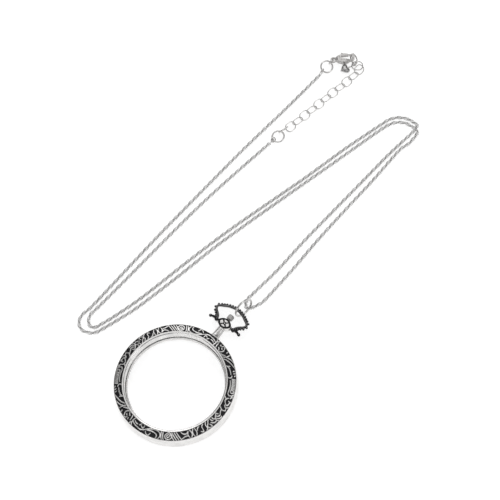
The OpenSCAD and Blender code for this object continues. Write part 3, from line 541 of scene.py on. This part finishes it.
def build_band():
    """The ornamented skin of the bezel's sloping top."""
    cols, rows = 1560, 38
    angles = np.arange(cols) * 360 / cols
    radii = np.linspace(RIM_R + 0.12, BAND_R - 0.02, rows)
    s = np.radians(angles)
    xy = np.stack([radii[:, None] * np.sin(s), radii[:, None] * np.cos(s)], axis=2)
    relief = band_relief(xy, angles)
    edge = np.clip(np.minimum(radii - radii[0], radii[-1] - radii) / 0.14, 0, 1)[:, None]
    slope = BAND_Z + (CREST_Z - BAND_Z) * (BAND_R - radii) / BAND_W
    rng = np.random.default_rng(7)
    ground = rng.normal(0, 0.012, relief.shape)
    z = slope[:, None] - RELIEF * (1 - relief * edge) + ground * (1 - relief)
    points = np.dstack([xy, z]).reshape(-1, 3)
    faces = grid_faces(rows, cols, True, True)
    obj = piece("bezel_band", points, faces, antique, ["bezel"])
    set_attribute(obj, "patina_and_painted_light", (1 - relief * edge).ravel())


def build_ring():
    """The bezel's solid ring, under the ornament and inside the rim."""
    low = RELIEF + 0.06
    section = fillet([
        (18.15, 0, 0.12), (18.15, 2, 0.06), (OPENING_R, 2, 0.05), (OPENING_R, 7.05, 0.14),
        (19.15, 7.26, 0.12), (RIM_R, CREST_Z, 0.12), (RIM_R + 0.13, CREST_Z - 0.05, 0.05),
        (RIM_R + 0.2, CREST_Z - low, 0.03), (BAND_R - 0.1, BAND_Z - low + 0.02, 0.03),
        (BAND_R - 0.05, BAND_Z - 0.03, 0.03), (BAND_R + 0.06, BAND_Z - 0.04, 0.06),
        (23.05, 6.1, 0.35), (23.33, 3.98, 0.9), (23.5, 1.5, 0.9), (23.35, 0.6, 0.4),
        (22.9, 0, 0.18),
    ])
    points, faces = lathe(section, 720, True)
    obj = piece("bezel_ring", points, faces, antique, ["bezel"])
    r = np.hypot(points[:, 0], points[:, 1])
    inside = (r > RIM_R + 0.15) & (r < BAND_R - 0.04) & (points[:, 2] > 4)
    set_attribute(obj, "patina_and_painted_light", np.where(inside, 1.0, 0.0))


def knob_edge(phi):
    """Distance from the knob's middle to its pointed outline."""
    rho = (KNOB_L ** 2 + KNOB_W ** 2) / (4 * KNOB_W)
    shift = rho - KNOB_W / 2
    d = np.abs(np.sin(phi))
    return -shift * d + np.sqrt((shift * d) ** 2 - shift ** 2 + rho ** 2)


def build_knob():
    """The pointed knob with a four-petal ornament on its sunk ground."""
    cols = 144
    phi = np.linspace(0, 2 * np.pi, cols, endpoint=False)
    reach = knob_edge(phi)
    top = KNOB_T / 2
    rows, shade = [], []
    for s in np.linspace(0.02, 0.955, 48):
        x, y = s * reach * np.cos(phi), s * reach * np.sin(phi)
        from_dot = np.hypot(x, y)
        from_cross = np.minimum(np.abs(0.64 * x - 0.77 * y), np.abs(0.64 * x + 0.77 * y))
        petal = np.minimum(np.minimum(from_cross - 0.22, from_dot - 0.58), (0.69 - s) * reach)
        height = np.clip(0.5 + np.maximum(petal, 0.27 - from_dot) / 0.12, 0, 1)
        rows.append(np.c_[x, y, top - 0.4 * (1 - height)])
        shade.append(1 - height)
    for s, z, dark in ((0.97, top - 0.03, 0.9), (0.992, top - 0.1, 0.5), (1.0, top - 0.28, 0),
                       (1.0, 0, 0), (1.0, -top + 0.28, 0), (0.992, -top + 0.1, 0),
                       (0.97, -top + 0.03, 0), (0.9, -top, 0)):
        rows.append(np.c_[s * reach * np.cos(phi), s * reach * np.sin(phi), np.full(cols, z)])
        shade.append(np.full(cols, dark))
    faces = grid_faces(len(rows), cols, True, True)
    n = len(rows) * cols
    points = np.vstack([*rows, [[0, 0, top], [0, 0, -top]]])
    faces += [[n, k, (k + 1) % cols] for k in range(cols)]
    last = (len(rows) - 1) * cols
    faces += [[n + 1, last + (k + 1) % cols, last + k] for k in range(cols)]
    points = points + [0, KNOB_Y, AXIS_Z]
    obj = piece("knob", points, faces, antique, ["bezel"])
    set_attribute(obj, "patina_and_painted_light", np.r_[np.concatenate(shade) * 0.9 + 0.05, 0.05, 0.05])


def build_neck():
    profile = [(0.01, 22.2), (1.75, 22.2), (1.76, 23.0), (1.98, 23.15), (2.0, 23.4), (1.85, 23.62),
               (1.66, 23.8), (1.56, 24.6), (1.5, 25.6), (1.47, 26.6), (1.45, 27.4), (1.45, 28),
               (1.45, 28.2), (0.01, 28.2)]
    p, f = lathe(bent_line(profile, 6), 64)
    p = along_y(p, 0, AXIS_Z)
    x, y = p[:, 0], p[:, 1] - KNOB_Y
    edge = knob_edge(np.arctan2(y, x))
    inside = (np.hypot(x, y) < edge - 0.02) & (y > 0.03 - edge)
    p[:, 2] = np.where(inside, np.minimum(p[:, 2], KNOB_FLOOR_Z), p[:, 2])
    obj = piece("neck", p, f, antique, ["bezel"])
    set_attribute(obj, "patina_and_painted_light", hollows(obj, 0.5, 6) * 0.8)


def build_ears():
    """The two short sleeves beside the knob that carry the bow's pins."""
    s = EAR_X
    profile = [(0.42, -s + 0.5), (0.42, -s), (0.8, -s), (0.9, -s + 0.1), (0.9, -s + 0.55),
               (0.78, -s + 0.7), (0.78, s - 0.7), (0.9, s - 0.55), (0.9, s - 0.1), (0.8, s),
               (0.42, s), (0.42, s - 0.5)]
    p, f = lathe(profile, 48, False, True)
    obj = piece("ears", along_x(p, KNOB_Y, AXIS_Z), f, shadowed, ["bezel"])
    set_attribute(obj, "patina_and_painted_light", np.full(len(obj.data.vertices), 0.3))


def build_crown():
    """The stalk and the round crown with its six soft flats."""
    y0 = KNOB_Y + KNOB_W / 2
    profile = [(0.74, y0 - 0.3), (0.74, y0 + 0.3), (0.85, y0 + 0.4), (1.0, y0 + 0.42),
               (1.22, y0 + 0.6), (1.3, y0 + 0.85), (1.3, y0 + 2.05), (1.22, y0 + 2.3),
               (0.98, y0 + 2.48), (0.5, y0 + 2.5), (0.01, y0 + 2.5)]
    p, f = lathe(bent_line(profile, 4), 144)
    a = np.arctan2(p[:, 1], p[:, 0])
    r = np.hypot(p[:, 0], p[:, 1])
    from_flat = (a + np.pi / 6 - np.pi / 2) % (np.pi / 3) - np.pi / 6
    cut = np.clip((r - 0.8) / 0.3, 0, 1) * (1 - np.minimum(CROWN_FLAT / np.cos(from_flat), 0.99))
    p[:, :2] *= (1 - cut)[:, None]
    obj = piece("crown", along_y(p, 0, AXIS_Z), f, crown_grey, ["bezel"])
    # Darker towards the stalk and the knob, lighter towards the crown's tip.
    set_attribute(obj, "patina_and_painted_light", np.clip(0.55 - (p[:, 2] - y0) * 0.4, 0.1, 0.5))


# ---------------------------------------------------------------- lens
def build_lens():
    r, base, rim = OPENING_R - 0.1, LENS_Z, LENS_Z + LENS_EDGE
    ball_r = (r * r + LENS_RISE * LENS_RISE) / (2 * LENS_RISE)
    dome = []
    for x in r * np.sin(np.linspace(np.pi / 2, 0.0005, 40)):
        dome.append((x, rim + LENS_RISE - ball_r + math.sqrt(ball_r ** 2 - x ** 2)))
    flat = [(x, base) for x in np.linspace(0.005, r - 0.12, 12)]
    side = [(r - 0.03, base + 0.03), (r, base + 0.12), (r, rim - 0.1)]
    p, f = lathe(flat + side + dome, 160)
    obj = piece("glass_lens", p, f, glass, ["lens"])
    obj.visible_shadow = False


# ---------------------------------------------------------------- bow
def build_bow():
    """Bar, beads, scrolls, feet and pins melted into one, with a painted reflection between beads
    and painted highlights on ridges.
    """
    size = np.array([BOW_W / 2, BOW_RISE])
    half = np.array(BOW_LINE) * size
    whole = np.vstack([half, (half[:-1] * [-1, 1])[::-1]])
    bar = bent_line(whole, 8)
    shells, beads = [tube(level(bar), BAR_R, 16, False, BAR_SQUASH)], []
    run = run_along(bar)
    top = run[-1] / 2
    step = (top - BEAD_CLEAR) / BEADS_HALF
    for i in range(-BEADS_HALF, BEADS_HALF + 1):
        s = top + i * step
        p, q = (np.array([np.interp(at, run, bar[:, c]) for c in (0, 1)]) for at in (s, s + 0.1))
        d = (q - p) / max(np.linalg.norm(q - p), 1e-6)
        out = p - np.array([-d[1], d[0]]) * BEAD_OUT
        shells.append(ball((*out, 0), BEAD_R, squash=1.3))
        beads.append(out)
    scroll = bent_line(np.array(SCROLL_LINE) * size, 6)
    for side in (-1, 1):
        line = scroll * [side, 1]
        shells.append(tube(level(line), np.linspace(0.78, 0.42, len(line)), 12, False, 1.2))
        shells.append(ball((*line[-1], 0), 0.66))
        beads.append(line[-1])
        foot = side * (KNOB_L / 2 + 0.1 + 0.85)
        p, f = lathe([(0.01, -0.72), (0.6, -0.72), (0.82, -0.5), (0.86, 0), (0.82, 0.5),
                      (0.6, 0.72), (0.01, 0.72)], 24)
        shells.append((p + [foot, 0, 0], f))
        pin, pf = lathe([(0.01, 0), (0.39, 0), (0.39, 1.9), (0.01, 1.9)], 20)
        pin = np.c_[side * (2.0 + pin[:, 2]), pin[:, 0], pin[:, 1]]
        shells.append((pin, pf if side > 0 else [g[::-1] for g in pf]))
    points, faces = cast(*join(*shells), 0.07, 2)
    obj = piece("beaded_bow", points + [0, KNOB_Y, AXIS_Z], faces, shadowed, ["bow"])
    away = np.linalg.norm(points[:, None, :2] - np.array(beads)[None], axis=2).min(axis=1)
    middle = np.linalg.norm(points[:, None, :2] - bar[None], axis=2).min(axis=1)
    height = np.abs(points[:, 2])
    # Painted light on the dark bow: a painted reflection on the bar's side walls between beads, and
    # painted highlights on its top ridge and on the tops of the beads and scroll balls.
    painted_wall_reflection = np.clip((0.45 - height) / 0.15, 0, 1) * np.clip((away - 0.6) / 0.15, 0, 1)
    painted_ridge_highlight = np.clip((0.3 - middle) / 0.15, 0, 1) * np.clip((height - 0.55) / 0.1, 0, 1)
    painted_bead_highlight = np.clip((0.24 - away) / 0.1, 0, 1) * np.clip((height - 0.35) / 0.1, 0, 1)
    set_attribute(obj, "patina_and_painted_light", np.clip(0.95 - 0.8 * painted_wall_reflection - 0.42 * painted_ridge_highlight - 0.6 * painted_bead_highlight, 0, 1))


# ---------------------------------------------------------------- rings and links
def build_rings():
    for node, place, d, wire, cut in RINGS:
        p, f = wire_ring(d, wire, cut)
        piece(node + "_wire", put(p, place), f, bright, [node])


def link_places():
    """Places of the extender's links, rolled left and right in turn."""
    line = bent_line(level(EXT_ROUTE), 6)
    run = run_along(line)
    rise = LINK_WIRE / 2 + (LINK_W - LINK_WIRE) / 2 * math.sin(math.radians(LINK_ROLL)) + 0.02
    places = [EXT_FIRST_AT]
    for i in range(2, 13):
        s = (i - 2) * LINK_PITCH
        k = min(int(np.searchsorted(run, s, side="right")) - 1, len(line) - 2)
        t = (s - run[k]) / (run[k + 1] - run[k])
        at = line[k] + (line[k + 1] - line[k]) * t
        d = line[k + 1] - line[k]
        places.append((at[0], at[1], rise, math.degrees(math.atan2(d[1], d[0])),
                       (-1 if i % 2 == 0 else 1) * LINK_ROLL))
    return places + [EXT_LAST_AT]


def build_extender():
    p, f = oval(LINK_L, LINK_W, LINK_WIRE)
    for i, place in enumerate(link_places(), 1):
        piece(f"extender_{i:02d}", put(p, place), f, bright, [f"ext_link_{i:02d}"])


# ---------------------------------------------------------------- rope chain
def rope_line():
    """The chain's middle as evenly spaced points, and the distance to each."""
    line = bent_line([[x, y, z + ROPE_R] for x, y, z in CHAIN_ROUTE], 40)
    line[:, 2] = np.maximum(line[:, 2], ROPE_R)     # nothing dips into the surface
    run = run_along(line)
    s = np.arange(0, run[-1], ROPE_STEP)
    return np.stack([np.interp(s, run, line[:, c]) for c in range(3)], axis=1), s


def build_rope():
    """Round links wound in two strands, each held by the links before and after it."""
    pitch, twist, offset, tilt = 0.28, 5.9, 0.185, math.radians(36.4)
    ring_r, wire_r = 0.483, 0.13
    turns, sides = 12, 6
    line, s = rope_line()
    t, n, b = frames_along(line)
    b = -b                              # mirrored, so that the strands wind the right way
    places = np.arange(0.5, s[-1] - 0.45, pitch)
    major = np.linspace(0, 2 * np.pi, turns, endpoint=False)
    minor = np.linspace(0, 2 * np.pi, sides, endpoint=False)
    shells, crests = [], []
    for i, at in enumerate(places):
        k = int(round(at / ROPE_STEP))
        turned = i * (np.pi + 2 * np.pi * pitch / twist)
        out = math.cos(turned) * n[k] + math.sin(turned) * b[k]
        around = -math.sin(turned) * n[k] + math.cos(turned) * b[k]
        axis = math.cos(tilt) * t[k] + math.sin(tilt) * around
        u, v = out, np.cross(axis, out)
        middle = line[k] + offset * out
        radial = np.outer(np.cos(major), u) + np.outer(np.sin(major), v)
        pts = (middle + ring_r * radial[:, None, :]
               + wire_r * (np.cos(minor)[None, :, None] * radial[:, None, :]
                           + np.sin(minor)[None, :, None] * axis))
        shells.append(pts.reshape(-1, 3))
        # Painted dark reflection: darkest on the strands' crests, pale in the grooves between them.
        off = shells[-1] - line[k]
        phase = np.arctan2(off @ b[k], off @ n[k]) - turned - 2 * np.pi * (off @ t[k]) / twist
        crests.append(np.clip(0.4 + 0.4 * np.cos(2 * phase), 0, 1))
    each = turns * sides
    one = np.array([[((j + 1) % turns) * sides + k, ((j + 1) % turns) * sides + (k + 1) % sides,
                     j * sides + (k + 1) % sides, j * sides + k]
                    for j in range(turns) for k in range(sides)])
    count, parts = len(shells), 3
    for part in range(parts):
        lo, hi = part * count // parts, (part + 1) * count // parts
        pts = np.vstack(shells[lo:hi])
        faces = np.vstack([one + each * i for i in range(hi - lo)])
        extra = []
        if part == 0:
            extra.append(end_loop(line[8], RINGS[1][1], 12))
        if part == parts - 1:
            extra.append(end_loop(line[-9], RINGS[2][1], -32))
        pts, faces = join((pts, faces.tolist()), *extra)
        obj = piece(f"rope_chain_{part + 1}", pts, faces, rope, ["chain"])
        # The strands' painted dark reflection, with an even middle value on the end loops.
        crest = np.concatenate(crests[lo:hi])
        set_attribute(obj, "crest", np.r_[crest, np.full(len(pts) - len(crest), 0.4)])


def end_loop(start, eye, tilt):
    """The small link that ties the rope's end to its eye."""
    start, eye = np.asarray(start), np.array(eye[:3])
    d = eye - start
    length = np.linalg.norm(d) + 0.85
    p, f = oval(length, 1.05, 0.3, 8, 12)
    middle = (start + eye) / 2 - d / np.linalg.norm(d) * 0.1
    heading = math.degrees(math.atan2(d[1], d[0]))
    return put(p, (*middle, heading, tilt)), f


# ---------------------------------------------------------------- clasp and charm
def melted(node, name, voxel, rounds, material, body=BODY):
    """A rounded version of a CAD node with soft cast edges."""
    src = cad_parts[node].data
    faces = [list(f.vertices) for f in src.polygons]
    points, faces = cast(read_rows(src) / MM, faces, voxel, rounds)
    obj = piece(name, points, faces, material, [node], body)
    # Recess darkening: painted shade on the clasp body and lever, patina on the charm.
    set_attribute(obj, "patina_and_painted_light", hollows(obj, 0.3, 10))


build_band()
build_ring()
build_knob()
build_neck()
build_ears()
build_crown()
build_lens()
build_bow()
build_rings()
build_extender()
build_rope()
melted("clasp_body", "lobster_claw", 0.07, 5, warm)
melted("clasp_lever", "claw_lever", 0.06, 4, warm, "lever")
melted("charm", "heart_charm", 0.07, 6, antique)


# ---------------------------------------------------------------- floor, light, camera
def build_floor():
    s = 1.5                             # half the floor's side, in metres
    mesh, obj = plain_mesh("floor", [(-s, -s, 0), (s, -s, 0), (s, s, 0), (-s, s, 0)],
                           [[0, 1, 2, 3]])
    obj.location.z = -0.00005
    mat, _, _, bsdf = new_material("floor_white")
    bsdf.inputs["Base Color"].default_value = (0.6, 0.6, 0.6, 1)
    bsdf.inputs["Roughness"].default_value = 0.8
    bsdf.inputs["Specular IOR Level"].default_value = 0.1
    bsdf.inputs["Emission Color"].default_value = (1, 1, 1, 1)
    bsdf.inputs["Emission Strength"].default_value = 0.68
    mesh.materials.append(mat)


def area_light(name, at, size, power):
    """A soft box aimed at the middle of the necklace; places in metres, power in watts."""
    data = bpy.data.lights.new(name, "AREA")
    data.shape = "RECTANGLE"
    data.size, data.size_y = size
    data.energy = power
    obj = bpy.data.objects.new(name, data)
    bpy.context.scene.collection.objects.link(obj)
    obj.location = at
    direction = Vector((-0.01, 0.06, 0)) - Vector(at)
    obj.rotation_euler = direction.to_track_quat("-Z", "Y").to_euler()


def build_world():
    world = bpy.data.worlds.new("studio")
    bpy.context.scene.world = world
    world.use_nodes = True
    nodes, links = world.node_tree.nodes, world.node_tree.links
    coord = nodes.new("ShaderNodeTexCoord")
    split = nodes.new("ShaderNodeSeparateXYZ")
    links.new(coord.outputs["Generated"], split.inputs[0])
    sky = ramp(nodes, links, split.outputs["Z"],
               [(0.0, 0.7), (0.2, 0.5), (0.4, 0.15), (0.68, 0.18), (0.88, 0.85), (1.0, 0.95)])
    links.new(sky.outputs["Color"], nodes["Background"].inputs["Color"])
    nodes["Background"].inputs["Strength"].default_value = 1.0


def build_camera():
    data = bpy.data.cameras.new("camera")
    data.lens = 93.6
    data.sensor_width = 36
    obj = bpy.data.objects.new("camera", data)
    bpy.context.scene.collection.objects.link(obj)
    m = Matrix.Identity(4)
    m.col[0][:3] = (0.7891, 0.6109, -0.0636)        # right
    m.col[1][:3] = (-0.5318, 0.7313, 0.4271)        # up
    m.col[2][:3] = (0.3074, -0.3032, 0.902)         # back
    m.translation = Vector((0.14416, -0.09344, 0.46004))
    obj.matrix_world = m
    bpy.context.scene.camera = obj


build_floor()
build_world()
for light in (("key", (-0.45, 0.55, 0.55), (0.6, 0.6), 1.6),
              ("fill", (0.7, 0.2, 0.45), (0.3, 0.5), 0.8),
              ("rim", (0.1, -0.6, 0.3), (0.6, 0.12), 0.5)):
    area_light(*light)
build_camera()
bpy.context.scene.view_settings.view_transform = "Standard"
